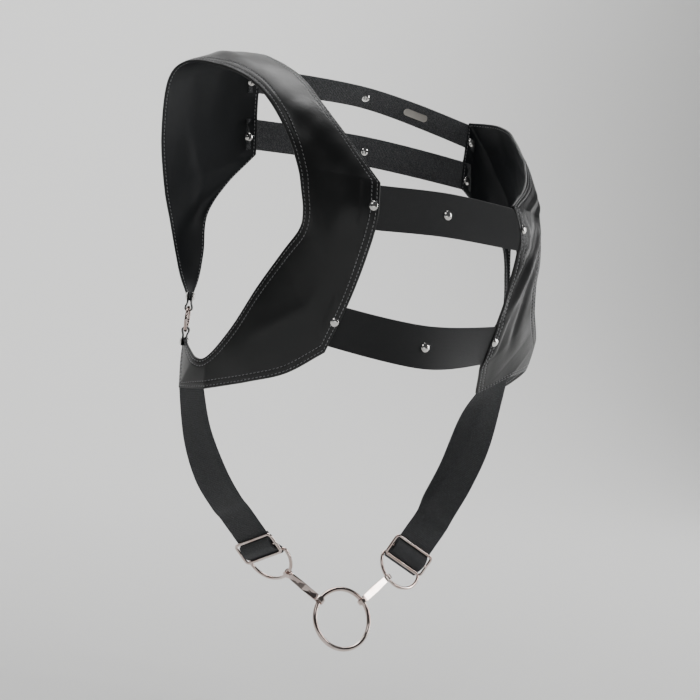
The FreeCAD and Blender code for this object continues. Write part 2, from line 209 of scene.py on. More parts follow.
# A round wire along a flat path; normal is square to the path's plane.
def tubeMesh(name, path, radius, normal, closed=False, sides=20):
    path = np.asarray(path, float)
    if closed:
        tangent = unit(np.roll(path, -1, axis=0) - np.roll(path, 1, axis=0))
    else:
        tangent = unit(np.gradient(path, axis=0))
    normal = unit(normal)
    side = unit(np.cross(tangent, normal))
    turns = np.linspace(0, 2 * math.pi, sides, endpoint=False)
    rings = (path[:, None] + radius * np.cos(turns)[None, :, None] * side[:, None]
             + radius * np.sin(turns)[None, :, None] * normal)
    faces = ringFaces(len(path), sides, closed)
    points = rings.reshape(-1, 3)
    if not closed:
        points, faces = roundEnds(points, faces, path, tangent, radius, sides)
    return meshObject(name, points, faces)


# Domed ends for an open wire.
def roundEnds(points, faces, path, tangent, radius, sides):
    rows = len(path)
    points = list(points)
    for end, outward in ((0, -1), (rows - 1, 1)):
        previous = [end * sides + j for j in range(sides)]
        rim = np.array([points[j] for j in previous])
        for turn in (0.5, 1.0, 1.35):
            ring = path[end] + (rim - path[end]) * math.cos(turn)
            ring = ring + tangent[end] * (outward * radius * math.sin(turn))
            start = len(points)
            points += list(ring)
            fresh = list(range(start, start + sides))
            for j in range(sides):
                k = (j + 1) % sides
                face = (previous[j], fresh[j], fresh[k], previous[k])
                faces.append(face if outward < 0 else face[::-1])
            previous = fresh
        faces.append(tuple(previous[::-1]) if outward > 0 else tuple(previous))
    return np.array(points), faces


# Several meshes as one object.
def joined(name, things):
    things = list(things)
    if len(things) > 1:
        with bpy.context.temp_override(active_object=things[0], selected_editable_objects=things):
            bpy.ops.object.join()
    things[0].name = name
    things[0].data.name = name
    return things[0]


# A turned shape about Z from (radius, height) pairs that start and end on the axis.
def lathe(name, profile, sides):
    turns = np.linspace(0, 2 * math.pi, sides, endpoint=False)
    points = [(0, 0, profile[0][1])]
    for radius, height in profile[1:-1]:
        points += [(radius * math.cos(t), radius * math.sin(t), height) for t in turns]
    points.append((0, 0, profile[-1][1]))
    rows = len(profile) - 2
    faces = []
    for j in range(sides):
        k = (j + 1) % sides
        faces.append((0, 1 + j, 1 + k))
        for i in range(rows - 1):
            low, high = 1 + i * sides, 1 + (i + 1) * sides
            faces.append((low + j, high + j, high + k, low + k))
        base = 1 + (rows - 1) * sides
        faces.append((base + j, len(points) - 1, base + k))
    return meshObject(name, points, faces)


def finish(thing, body, slot, material, *nodes):
    thing.data.materials.clear()
    thing.data.materials.append(material)
    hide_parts(*nodes)
    if body:
        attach(thing, body)
    return thing


# A shader socket that can be added, multiplied and so on.
class Value:
    def __init__(self, shader, socket):
        self.shader = shader
        self.socket = socket

    def math(self, operation, *others, swapped=False):
        terms = [self, *others]
        if swapped:
            terms.reverse()
        inputs = dict(enumerate(terms))
        return self.shader.node("ShaderNodeMath", inputs, operation=operation)

    def __add__(self, other):
        return self.math("ADD", other)

    def __radd__(self, other):
        return self.math("ADD", other, swapped=True)

    def __mul__(self, other):
        return self.math("MULTIPLY", other)

    def __rmul__(self, other):
        return self.math("MULTIPLY", other, swapped=True)


# A material and its node tree.
class Finish:
    def __init__(self, name):
        self.material = bpy.data.materials.new(name)
        self.material.use_nodes = True
        self.tree = self.material.node_tree
        self.surface = self.tree.nodes["Principled BSDF"]
        self.place = self.node("ShaderNodeTexCoord", output="Object")
        self.pattern = self.node("ShaderNodeUVMap", uv_map="pattern")

    # Any node: settings are its options, inputs its sockets by name or number.
    def node(self, kind, inputs=None, output=0, **settings):
        made = self.tree.nodes.new(kind)
        for name, setting in settings.items():
            setattr(made, name, setting)
        for key, value in (inputs or {}).items():
            self.feed(made.inputs[key], value)
        return Value(self, made.outputs[output])

    def feed(self, socket, value):
        if isinstance(value, Value):
            self.tree.links.new(value.socket, socket)
        elif isinstance(value, tuple) and len(value) == 3 and socket.type == "RGBA":
            socket.default_value = (*value, 1)
        else:
            socket.default_value = value

    def scaled(self, vector, factors):
        return self.node("ShaderNodeVectorMath", {0: vector, 1: factors}, operation="MULTIPLY")

    def noise(self, scale, detail=2.0, vector=None):
        inputs = {"Vector": vector or self.place, "Scale": scale, "Detail": detail}
        return self.node("ShaderNodeTexNoise", inputs, output="Fac")

    def ramp(self, value, low, high):
        inputs = {"Value": value, "From Min": low, "From Max": high}
        return self.node("ShaderNodeMapRange", inputs)

    def colours(self, factor, first, second):
        inputs = {"Factor": factor, 6: first, 7: second}
        return self.node("ShaderNodeMix", inputs, output=2, data_type="RGBA")

    def relief(self, height, distance, strength=1.0, under=None):
        inputs = {"Height": height, "Distance": distance, "Strength": strength}
        if under:
            inputs["Normal"] = under
        return self.node("ShaderNodeBump", inputs, output="Normal")

    def set(self, **sockets):
        for name, value in sockets.items():
            self.feed(self.surface.inputs[name.replace("_", " ")], value)
        return self.material


# Soft dyed leather: fine cells, slow wear in the sheen and a thin top coat.
def leatherFinish(name, values):
    look = Finish(name)
    cells = look.node("ShaderNodeTexVoronoi", {"Vector": look.place, "Scale": values["grain"]},
                      output="Distance")
    fine = look.noise(values["grain"] * 1.9, 3.0)
    broad = look.noise(14.0, 3.0)
    worn = look.ramp(broad, 0.35, 0.7)
    height = cells * 0.7 + fine * 0.5
    soft = look.relief(look.noise(55.0, 2.0), 0.0012, values["softness"])
    colour = look.colours(worn, values["dark"], values["light"])
    rough = look.ramp(broad * 0.7 + fine * 0.3, 0.3, 0.7) * values["spread"] + values["roughness"]
    return look.set(Base_Color=colour, Roughness=rough, Coat_Weight=values["coat"],
                    Coat_Roughness=values["coatRoughness"], IOR=1.48,
                    Normal=look.relief(height, 0.00018, values["grainDepth"], soft))


# Woven elastic: yarns both ways with lighter flecks of fibre. The yarn term also darkens the colour
# where the weave sits low, as painted shade in its grooves.
def webbingFinish(name, values):
    look = Finish(name)
    split = look.node("ShaderNodeSeparateXYZ", {0: look.pattern}, output="X")
    across = look.node("ShaderNodeSeparateXYZ", {0: look.pattern}, output="Y")
    warp = (split * (2 * math.pi / values["alongPitch"])).math("SINE")
    weft = (across * (2 * math.pi / values["acrossPitch"])).math("SINE")
    yarns = warp * weft * 0.5 + 0.5
    fibre = look.noise(values["fibre"], 3.0)
    flecks = look.ramp(fibre, values["fleckFrom"], 0.78)
    # Colour mix: the yarn term is painted shade in the weave's low parts; the flecks are the fibre's own
    # lighter tone.
    shade = yarns * 0.35 + flecks * 0.65
    colour = look.colours(shade, values["dark"], values["light"])
    height = yarns * 0.8 + fibre * 0.6
    return look.set(Base_Color=colour, Roughness=values["roughness"] + fibre * 0.12,
                    Normal=look.relief(height, values["depth"], 0.9),
                    Sheen_Weight=values["sheen"], Sheen_Roughness=0.5)


# Polished plated wire with faint handling marks.
def metalFinish(name, values):
    look = Finish(name)
    haze = look.noise(60.0, 3.0)
    streaks = look.noise(1.0, 2.0, look.scaled(look.place, values["streaks"]))
    colour = look.colours(look.ramp(haze, 0.3, 0.75), values["dark"], values["light"])
    rough = look.ramp(haze * 0.5 + streaks * 0.5, 0.35, 0.7) * values["spread"] + values["roughness"]
    return look.set(Base_Color=colour, Metallic=1.0, Roughness=rough,
                    Normal=look.relief(streaks, 0.00004, values["marks"]))


def plainFinish(name, dark, light, roughness):
    look = Finish(name)
    shade = look.noise(900.0, 2.0)
    return look.set(Base_Color=look.colours(shade, dark, light), Roughness=roughness + shade * 0.1)


finishes = {
    "leather": leatherFinish("leather", {
        "grain": 1500.0, "dark": (0.0045, 0.0048, 0.005), "light": (0.008, 0.0085, 0.009),
        "roughness": 0.34, "spread": 0.12, "coat": 0.05, "coatRoughness": 0.3,
        "grainDepth": 0.28, "softness": 0.35}),
    "lining": leatherFinish("lining", {
        "grain": 1900.0, "dark": (0.007, 0.0083, 0.0098), "light": (0.011, 0.0126, 0.015),
        "roughness": 0.46, "spread": 0.12, "coat": 0.05, "coatRoughness": 0.4,
        "grainDepth": 0.22, "softness": 0.3}),
    "front": webbingFinish("front elastic", {
        "alongPitch": 1.1, "acrossPitch": 0.9, "fibre": 900.0, "fleckFrom": 0.5,
        "dark": (0.017, 0.0175, 0.0185), "light": (0.028, 0.029, 0.030),
        "roughness": 0.72, "depth": 0.00012, "sheen": 0.1}),
    "back": webbingFinish("back elastic", {
        "alongPitch": 1.7, "acrossPitch": 1.3, "fibre": 1000.0, "fleckFrom": 0.44,
        "dark": (0.012, 0.0125, 0.0135), "light": (0.20, 0.205, 0.215),
        "roughness": 0.75, "depth": 0.0003, "sheen": 0.15}),
    "strap": webbingFinish("strap elastic", {
        "alongPitch": 1.8, "acrossPitch": 1.5, "fibre": 1100.0, "fleckFrom": 0.42,
        "dark": (0.008, 0.0085, 0.0095), "light": (0.075, 0.078, 0.084),
        "roughness": 0.62, "depth": 0.0003, "sheen": 0.06}),
    # The warm rose tint in this metal's dark and light colours is a painted reflection of warm
    # surroundings on the plated wire.
    "metal": metalFinish("polished metal", {
        "dark": (0.50, 0.37, 0.33), "light": (0.82, 0.73, 0.69), "roughness": 0.08,
        "spread": 0.09, "marks": 0.25, "streaks": (90.0, 90.0, 700.0)}),
    "rivet": metalFinish("rivet metal", {
        "dark": (0.74, 0.72, 0.69), "light": (0.88, 0.87, 0.85), "roughness": 0.12,
        "spread": 0.1, "marks": 0.2, "streaks": (200.0, 200.0, 500.0)}),
    "plate": metalFinish("plate metal", {
        "dark": (0.55, 0.52, 0.48), "light": (0.70, 0.67, 0.62), "roughness": 0.3,
        "spread": 0.15, "marks": 0.6, "streaks": (60.0, 900.0, 900.0)}),
    "thread": plainFinish("thread", (0.16, 0.16, 0.165), (0.42, 0.42, 0.43), 0.55),
    "floor": plainFinish("floor", (0.78, 0.78, 0.77), (0.80, 0.80, 0.79), 0.9),
}
print("materials made")


# A geometry tree with named inputs; it returns the tree, its nodes and input sockets.
def nodeTree(name, sockets):
    tree = bpy.data.node_groups.new(name, "GeometryNodeTree")
    tree.interface.new_socket(name="Geometry", in_out="INPUT", socket_type="NodeSocketGeometry")
    tree.interface.new_socket(name="Geometry", in_out="OUTPUT", socket_type="NodeSocketGeometry")
    ids = {}
    for label, kind in sockets.items():
        made = tree.interface.new_socket(name=label, in_out="INPUT", socket_type="NodeSocket" + kind)
        ids[label] = made.identifier
    start = tree.nodes.new("NodeGroupInput")
    end = tree.nodes.new("NodeGroupOutput")

    def add(kind, inputs=None, **settings):
        node = tree.nodes.new(kind)
        for key, setting in settings.items():
            setattr(node, key, setting)
        for key, value in (inputs or {}).items():
            if isinstance(value, bpy.types.NodeSocket):
                tree.links.new(value, node.inputs[key])
            else:
                node.inputs[key].default_value = value
        return node

    return tree, ids, start, end, add


# The up direction that a guide carries.
def upward(add):
    named = add("GeometryNodeInputNamedAttribute", {"Name": "up"}, data_type="FLOAT_VECTOR")
    return next(socket for socket in named.outputs if socket.type == "VECTOR")


# The end of a tree: the piece on its points, made real, with its material.
def placeCopies(tree, start, end, add, places):
    piece = add("GeometryNodeObjectInfo", {0: start.outputs["Piece"]}, transform_space="ORIGINAL")
    placed = add("GeometryNodeInstanceOnPoints", {"Instance": piece.outputs["Geometry"], **places})
    real = add("GeometryNodeRealizeInstances", {0: placed.outputs[0]})
    skin = add("GeometryNodeSetMaterial",
               {0: real.outputs[0], "Material": start.outputs["Material"]})
    tree.links.new(skin.outputs[0], end.inputs[0])


# Copies of one object along paths, at an even pitch, standing on the paths' up direction.
def copiesAlongTree():
    tree, ids, start, end, add = nodeTree("copies along", {
        "Piece": "Object", "Pitch": "Float", "Length Spread": "Float",
        "Slant": "Float", "Seed": "Int", "Material": "Material"})
    paths = add("GeometryNodeMeshToCurve", {0: start.outputs["Geometry"]})
    even = add("GeometryNodeCurveToPoints", {"Curve": paths.outputs[0]}, mode="LENGTH")
    tree.links.new(start.outputs["Pitch"], even.inputs["Length"])
    stand = add("FunctionNodeAxesToRotation",
                {"Primary Axis": upward(add), "Secondary Axis": even.outputs["Tangent"]},
                primary_axis="Z", secondary_axis="X")
    slant = add("FunctionNodeAxisAngleToRotation", {"Axis": (0, 0, 1)})
    tree.links.new(start.outputs["Slant"], slant.inputs["Angle"])
    turned = add("FunctionNodeRotateRotation",
                 {0: stand.outputs[0], 1: slant.outputs[0]}, rotation_space="LOCAL")
    spread = add("FunctionNodeRandomValue", data_type="FLOAT")
    low = add("ShaderNodeMath", {0: 1.0, 1: start.outputs["Length Spread"]}, operation="SUBTRACT")
    high = add("ShaderNodeMath", {0: 1.0, 1: start.outputs["Length Spread"]}, operation="ADD")
    tree.links.new(low.outputs[0], spread.inputs[2])
    tree.links.new(high.outputs[0], spread.inputs[3])
    tree.links.new(start.outputs["Seed"], spread.inputs["Seed"])
    size = add("ShaderNodeCombineXYZ", {"X": spread.outputs[1], "Y": 1.0, "Z": spread.outputs[1]})
    placeCopies(tree, start, end, add, {
        "Points": even.outputs[0], "Rotation": turned.outputs[0], "Scale": size.outputs[0]})
    return tree, ids


# Copies of one object at points, standing on each point's up direction.
def copiesAtTree():
    tree, ids, start, end, add = nodeTree("copies at", {"Piece": "Object", "Material": "Material"})
    points = add("GeometryNodeMeshToPoints", {0: start.outputs["Geometry"]})
    stand = add("FunctionNodeAlignRotationToVector", {"Vector": upward(add)}, axis="Z")
    placeCopies(tree, start, end, add, {"Points": points.outputs[0], "Rotation": stand.outputs[0]})
    return tree, ids


trees = {"along": copiesAlongTree(), "at": copiesAtTree()}


# Paths, or loose points, that carry an up direction for a node tree.
def guide(name, lines, ups, loose=False):
    points = np.concatenate(lines) * mm
    edges = []
    start = 0
    for line in lines:
        if not loose:
            edges += [(start + i, start + i + 1) for i in range(len(line) - 1)]
        start += len(line)
    data = bpy.data.meshes.new(name)
    data.from_pydata(points.tolist(), edges, [])
    up = data.attributes.new("up", "FLOAT_VECTOR", "POINT")
    up.data.foreach_set("vector", np.concatenate(ups).ravel().astype(np.float32))
    thing = bpy.data.objects.new(name, data)
    bpy.context.scene.collection.objects.link(thing)
    return thing


# The guide's tree run once and kept as a plain mesh.
def grown(thing, treeName, values):
    tree, ids = trees[treeName]
    modifier = thing.modifiers.new(treeName, "NODES")
    modifier.node_group = tree
    for label, value in values.items():
        modifier[ids[label]] = value
    bpy.context.view_layer.update()
    graph = bpy.context.evaluated_depsgraph_get()
    data = bpy.data.meshes.new_from_object(thing.evaluated_get(graph))
    thing.modifiers.clear()
    thing.data = data
    data.polygons.foreach_set("use_smooth", [True] * len(data.polygons))
    data.update()
    return thing


# A piece that is only copied from, and isn't shown itself.
def pattern(thing):
    bpy.context.scene.collection.objects.unlink(thing)
    return thing


# A rounded bar across X; knuckles swell along its length in Y.
def barMesh(name, length, width, height, knuckles, rows):
    places = np.linspace(-0.5, 0.5, rows)
    swell = 0.80 + 0.20 * np.cos(2 * math.pi * knuckles * (places + 0.5)) if knuckles else 1 + 0 * places
    taper = np.sqrt(np.clip(1 - np.abs(2 * places) ** 14, 0.03, 1))
    turns = np.linspace(0, 2 * math.pi, 8, endpoint=False)
    rings = np.zeros((rows, 8, 3))
    rings[..., 0] = np.cos(turns) * width / 2 * (swell * taper)[:, None]
    rings[..., 1] = (places * length)[:, None]
    rings[..., 2] = np.sin(turns) * height * (swell * taper)[:, None]
    faces = [tuple(range(8))[::-1], tuple(range((rows - 1) * 8, rows * 8))] + ringFaces(rows, 8)
    return meshObject(name, rings, faces)


stations = {
    "right": [
        ((-180, 28, -262), (-176, 38, -262), 0, False),
        ((-178, 16, -270), (-176, 40, -282), 0, False),
        ((-176, -2, -277), (-178, 28, -310), 1, True),
        ((-170, -16, -273), (-167, -12, -305), 1, True),
        ((-159, -38, -243), (-137, -45, -291), 4, False),
        ((-147, -57, -203), (-110, -66, -278), 6, False),
        ((-134, -74, -168), (-83, -84, -254), 7, True),
        ((-126, -86, -146), (-73, -101, -203), 8, False),
        ((-127, -91, -130), (-69, -117, -157), 8, False),
        ((-132, -91, -110), (-68, -124, -126), 7, False),
        ((-137, -90, -93), (-69, -121, -96), 5, True),
        ((-148, -83, -66), (-88, -98, -67), 5, False),
        ((-161, -65, -38), (-107, -73, -38), 6, False),
        ((-172, -39, -20), (-124, -39, -7), 6, False),
        ((-191, 2, -5), (-141, 5, 12), 5, False),
        ((-212, 36, -4), (-139, 42, 16), 5, False),
        ((-221, 56, -22), (-127, 64, 12), 5, True),
        ((-217, 67, -72), (-122, 68, -34), 5, False),
        ((-205, 72, -124), (-119, 64, -75), 5, True),
        ((-196, 71, -152), (-142, 70, -107), 5, False),
        ((-189, 67, -178), (-160, 66, -141), 3, False),
        ((-184, 55, -203), (-161, 60, -178), 2, False),
        ((-181, 40, -218), (-166, 50, -205), 1, False),
        ((-180, 28, -226), (-176, 38, -226), 0, False),
    ],
    "left": [
        ((180, 28, -262), (176, 38, -262), 0, False),
        ((181, 16, -262), (178, 25, -277), 0, False),
        ((178, -11, -244), (177, -2, -266), 0, False),
        ((171, -36, -230), (167, -34, -253), 1, False),
        ((160, -56, -218), (132, -60, -260), 2, True),
        ((148, -70, -203), (96, -63, -279), 4, True),
        ((138, -79, -187), (83, -84, -253), 4, True),
        ((133, -84, -165), (86, -100, -203), 3, False),
        ((131, -88, -142), (85, -114, -160), 4, False),
        ((129, -87, -121), (82, -121, -126), 5, False),
        ((127, -83, -104), (70, -121, -96), 4, True),
        ((130, -69, -88), (97, -95, -75), 4, False),
        ((135, -47, -77), (110, -70, -53), 4, False),
        ((144, -21, -78), (121, -40, -36), 4, False),
        ((157, 8, -77), (130, 0, -14), 4, False),
        ((171, 34, -83), (134, 38, -3), 4, False),
        ((182, 51, -93), (122, 73, -1), 5, True),
        ((186, 58, -101), (119, 69, -38), 5, False),
        ((188, 61, -110), (117, 64, -71), 4, True),
        ((189, 62, -120), (148, 68, -92), 4, False),
        ((190, 60, -140), (178, 62, -122), 3, False),
        ((191, 53, -174), (184, 54, -164), 2, False),
        ((187, 37, -208), (181, 46, -203), 1, False),
        ((180, 28, -226), (176, 38, -226), 0, False),
    ],
}
signs = {"right": -1, "left": 1}
build = {"outer": 1.4, "lining": 1.0, "tuck": 13.0, "band": 1.6, "swell": 1.15}
stack = build["outer"] + build["lining"]
bandPlaces = {
    "front_upper_band": (9.93, -1), "front_lower_band": (6.85, -1),
    "back_upper_band": (16.05, 1), "back_lower_band": (17.15, 1),
}
bandMiddles = {
    "front_upper_band": ((0, -127, -115), 4), "front_lower_band": ((0, -120, -237), 2),
    "back_upper_band": ((0, 81, 4), -38), "back_lower_band": ((0, 66, -52), -10),
}
bandWidths = {
    "front_upper_band": 40.0, "front_lower_band": 40.0,
    "back_upper_band": 25.0, "back_lower_band": 30.0,
}


# Fixed soft waves through space, for the give of worn leather.
def slowWaves(seed, count, longest, shortest):
    spread = np.random.RandomState(seed)
    lengths = np.exp(spread.uniform(math.log(shortest), math.log(longest), count))
    headings = unit(spread.normal(size=(count, 3)))
    phases = spread.uniform(0, 2 * math.pi, count)

    def height(points):
        total = 0
        for length, heading, phase in zip(lengths, headings, phases):
            wave = np.sin(points @ heading * (2 * math.pi / length) + phase)
            total = total + wave * (length / longest) ** 0.8
        return total / math.sqrt(count)

    return height


waves = {"right": slowWaves(11, 14, 95.0, 22.0), "left": slowWaves(23, 14, 80.0, 20.0)}

# A fold runs from one (station, share across) to another: height, half width in mm.
folds = {
    "right": [
        ((13.2, 0.25), (15.8, 0.55), 1.6, 7.0),
        ((4.2, 0.35), (6.6, 0.62), 1.2, 8.0),
        ((16.6, 0.3), (19.5, 0.6), 1.4, 8.0),
    ],
    "left": [
        ((11.2, 0.12), (6.7, 0.78), 3.4, 5.0),
        ((11.4, 0.42), (7.6, 0.92), 2.6, 4.5),
        ((10.0, 0.05), (5.6, 0.52), -2.6, 6.0),
        ((9.4, 0.62), (6.2, 0.98), -1.8, 4.5),
        ((12.2, 0.35), (15.4, 0.6), 1.5, 6.0),
        ((17.0, 0.35), (19.4, 0.6), 1.2, 6.0),
    ],
}


# How the leather of one side lifts and folds.
def giveOf(side):

    def give(ribbon, places, shares):
        a, b = ribbon.edges(places)
        width = np.linalg.norm(b - a, axis=-1)
        points = a + (b - a) * shares[..., None]
        room = smoothStep(14.0, 50.0, width)
        total = waves[side](points) * 0.75 * room
        for (fromPlace, fromShare), (toPlace, toShare), height, half in folds[side]:
            t = (places - fromPlace) / (toPlace - fromPlace)
            line = fromShare + (toShare - fromShare) * np.clip(t, 0, 1)
            ends = smoothStep(-0.05, 0.3, t) * (1 - smoothStep(0.7, 1.05, t))
            total = total + height * ends * bump((shares - line) * width, 0.0, half)
        return total * ribbon.calm(places, shares, width)

    return give


class Crescent(Ribbon):
    def __init__(self, side):
        edgeA, edgeB, crowns, corners = zip(*stations[side])
        super().__init__(edgeA, edgeB, crowns, corners, signs[side], giveOf(side))
        self.spans = []
        for name, (top, direction) in bandPlaces.items():
            bottom = self.stationAcross(top, bandWidths[name], direction)
            self.spans.append((min(top, bottom), max(top, bottom)))

    # Less give beside the bands and at the narrow ends.
    def calm(self, places, shares, width):
        total = np.ones_like(places)
        for low, high in self.spans:
            along = smoothStep(low - 0.5, low, places) * (1 - smoothStep(high, high + 0.5, places))
            across = 1 - smoothStep(14.0, 34.0, (1 - shares) * width)
            total = total * (1 - 0.85 * along * across)
        return total

    # Where a band's end lies between leather and lining.
    def swell(self, places, shares, width):
        total = np.zeros_like(places)
        for low, high in self.spans:
            edge = 0.07
            along = smoothStep(low - edge, low + edge, places)
            along = along * (1 - smoothStep(high - edge, high + edge, places))
            across = 1 - smoothStep(build["tuck"] + 1, build["tuck"] + 7, (1 - shares) * width)
            total = np.maximum(total, along * across)
        return total


crescents = {side: Crescent(side) for side in signs}
sheet = {
    "rim": [0.0, 0.02, 0.25, 0.7, 1.6, 2.3, 2.9, 3.5, 4.4, 6.2, 7.2, 7.8, 8.4, 9.4, 12.0],
    "outer": [0.45, 0.85, 1.2, 1.4, 1.47, 1.38, 1.12, 1.38, 1.52, 1.52, 1.38, 1.12, 1.38, 1.46, 1.4],
    "inner": [0.35, 0.6, 0.82, 0.97, 1.02, 1.0, 0.86, 0.97, 1.05, 1.04, 1.0, 1.0, 1.0, 1.0, 1.0],
    "centre": 26, "pitch": 2.6,
}


def rimScale(width):
    return np.minimum(1.0, width / 28.0)


# One layer of a crescent with turned edges and grooves for its stitch rows.
def leatherSheet(side, name, heights, outward):
    ribbon = crescents[side]
    places = ribbon.evenPlaces(sheet["pitch"])
    width = ribbon.width(places)
    rim = np.array(sheet["rim"])[None, :] * rimScale(width)[:, None]
    inside = np.linspace(0, 1, sheet["centre"] + 2)[None, 1:-1]
    centre = rim[:, -1:] + (width[:, None] - 2 * rim[:, -1:]) * inside
    distance = np.concatenate([rim, centre, width[:, None] - rim[:, ::-1]], axis=1)
    profile = list(heights) + [heights[-1]] * sheet["centre"] + list(heights)[::-1]
    shares = distance / width[:, None]
    grid = np.repeat(places[:, None], shares.shape[1], axis=1)
    wide = np.repeat(width[:, None], shares.shape[1], axis=1)
    lift = ribbon.swell(grid, shares, wide) * build["swell"]
    top = ribbon.point(grid, shares, outward * (np.array(profile)[None, :] + lift))
    bottom = ribbon.point(grid, shares, outward * (0.03 + lift))
    middle = top[:, top.shape[1] // 2]
    run = np.concatenate([[0], np.cumsum(np.linalg.norm(np.diff(middle, axis=0), axis=1))])
    along = np.repeat(run[:, None], shares.shape[1], axis=1)
    return loopMesh(name, top, bottom, along, distance)


# The stitch lines of one side: two rows outside and one inside, along both edges.
def stitchRows(side):
    ribbon = crescents[side]
    places = ribbon.evenPlaces(1.5)
    width = ribbon.width(places)
    scale = rimScale(width)
    lines, ups = [], []
    for distance, lift in ((2.9, 1.28), (7.8, 1.28), (2.9, -0.98)):
        kept = (width > 24.0) if distance > 5 else (width > 9.0)
        for edge in (0, 1):
            inset = distance * scale / width
            shares = inset if edge == 0 else 1 - inset
            swell = ribbon.swell(places, shares, width) * build["swell"]
            line = ribbon.point(places, shares, lift + np.sign(lift) * swell)
            up = ribbon.frame(places)[3] * np.sign(lift)
            runs = np.split(np.arange(len(places)), np.flatnonzero(np.diff(kept.astype(int))) + 1)
            for run in runs:
                if kept[run[0]] and len(run) > 3:
                    lines.append(line[run])
                    ups.append(up[run])
    return lines, ups


stitch = {"length": 2.5, "width": 0.7, "height": 0.42, "pitch": 3.7, "slant": 0.10}


# A single stitch: a short domed bar lying along X.
def threadPiece():
    places = np.array([-0.5, -0.38, -0.15, 0.15, 0.38, 0.5])
    size = np.array([0.25, 0.8, 1.0, 1.0, 0.8, 0.25])
    turns = np.linspace(0, 2 * math.pi, 6, endpoint=False)
    rings = np.zeros((6, 6, 3))
    rings[..., 0] = (places * stitch["length"])[:, None]
    rings[..., 1] = np.cos(turns) * stitch["width"] / 2 * size[:, None]
    rings[..., 2] = np.sin(turns) * stitch["height"] * size[:, None]
    faces = [tuple(range(6))[::-1], tuple(range(30, 36))] + ringFaces(6, 6)
    return pattern(meshObject("stitch", rings, faces))


stitchPiece = threadPiece()


def sew(name, lines, ups, slot):
    rows = guide(name, lines, ups)
    grown(rows, "along", {
        "Piece": stitchPiece, "Pitch": stitch["pitch"] * mm, "Length Spread": 0.08,
        "Slant": stitch["slant"], "Seed": 5, "Material": finishes["thread"]})
    return rows


for side in signs:
    outer = leatherSheet(side, "leather-" + side, sheet["outer"], 1)
    finish(outer, "harness", "leather", finishes["leather"], "leather_" + side)
    inner = leatherSheet(side, "lining-" + side, sheet["inner"], -1)
    finish(inner, "harness", "lining", finishes["lining"], "lining_" + side)
    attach(sew("stitches-" + side, *stitchRows(side), "leather"), "harness")
print("crescents made")


# A woven strip with rounded selvedges and, where it has any, lengthwise ribs.
def webbing(name, ribbon, thickness, pitch, values):
    places = ribbon.evenPlaces(pitch)
    width = ribbon.width(places)
    rim = np.array([0.0, 0.12, 0.4, 0.9, 1.5, 2.0, 2.6])
    heights = [0.12, 0.55, 0.85, 1.0, 1.0, 0.9, 1.0]
    count = values["across"]
    inside = np.linspace(0, 1, count + 2)[1:-1]
    mean = width.mean()
    distance = np.concatenate([rim, rim[-1] + (mean - 2 * rim[-1]) * inside, mean - rim[::-1]])
    shares = np.repeat((distance / mean)[None, :], len(places), axis=0)
    profile = np.array(heights + [1.0] * count + heights[::-1])
    if values["ribs"]:
        ripple = np.cos(2 * math.pi * distance / values["ribs"]) * values["ribDepth"]
        profile = profile + ripple / (thickness / 2) * (profile > 0.95)
    grid = np.repeat(places[:, None], shares.shape[1], axis=1)
    middle = sum(ribbon.edges(places)) / 2
    run = np.concatenate([[0], np.cumsum(np.linalg.norm(np.diff(middle, axis=0), axis=1))])
    along = np.repeat(run[:, None], shares.shape[1], axis=1)
    half = thickness / 2 * values.get("body", 1.0) * profile[None, :]
    if values.get("crossRib"):
        pitch, depth = values["crossRib"]
        half = half + depth * np.cos(2 * math.pi * along / pitch) * (profile[None, :] > 0.8)
    top = ribbon.point(grid, shares, half)
    bottom = ribbon.point(grid, shares, -half)
    across = np.repeat(distance[None, :], len(places), axis=0)
    return loopMesh(name, top, bottom, along, across)


# Raised cross ribs along both faces of a webbing strip, between two places on it.
def weave(name, ribbon, values, material, first, last):
    places = ribbon.evenPlaces(2.0)
    places = places[(places >= first) & (places <= last)]
    lines, ups = [], []
    for face in (1, -1):
        normal = ribbon.frame(places)[3] * face
        lines.append(ribbon.point(places, np.full(len(places), 0.5), face * values["lift"]))
        ups.append(normal)
    rows = guide(name, lines, ups)
    bar = pattern(barMesh(name + "-bar", values["rib"], values["width"], values["height"],
                          values["knuckles"], values["rows"]))
    return grown(rows, "along", {
        "Piece": bar, "Pitch": values["pitch"] * mm, "Length Spread": values["spread"],
        "Slant": 0.0, "Seed": values["seed"], "Material": material})


def bandRibbon(name):
    top, direction = bandPlaces[name]
    middle, lean = bandMiddles[name]
    width = bandWidths[name]
    tilt = math.radians(lean)
    middle = np.array(middle, float)
    rise = np.array([0, math.sin(tilt), math.cos(tilt)]) * (width / 2)
    lift = (build["outer"] - build["lining"]) / 2
    edges = {}
    centres = []
    rivetInset = 6.0 if middle[1] < 0 else 8.0
    for side, ribbon in crescents.items():
        bottom = ribbon.stationAcross(top, width, direction)
        halfway = np.array((top + bottom) / 2)
        upper, lower, crowns = [], [], []
        normal = ribbon.frame(halfway)[3]
        for inset in (build["tuck"], build["tuck"] / 2, 0):
            high = ribbon.inset(np.array(top), inset, lift)
            low = ribbon.inset(np.array(bottom), inset, lift)
            between = ribbon.inset(halfway, inset, lift)
            upper.append(high)
            lower.append(low)
            crowns.append(np.dot(between - (high + low) / 2, normal))
        edges[side] = (upper, lower, crowns)
        centres.append((ribbon.inset(halfway, rivetInset, lift), normal, stack + build["band"]))
    right, left = edges["right"], edges["left"]
    band = Ribbon(right[0] + [middle + rise] + left[0][::-1],
                  right[1] + [middle - rise] + left[1][::-1],
                  right[2] + [0] + left[2][::-1], None, 1 if middle[1] > 0 else -1)
    here = np.array(3.0)
    centres.append((band.point(here, 0.5), band.frame(here)[3], build["band"]))
    return band, centres


capProfile = [(0, 2.2), (0.9, 2.16), (1.9, 1.98), (2.8, 1.62), (3.5, 1.15), (4.05, 0.68),
              (4.38, 0.38), (4.5, 0.18), (4.42, 0.02), (1.6, 0.0), (1.6, -0.75), (0, -0.75)]
cap = pattern(lathe("rivet-cap", capProfile, 32))


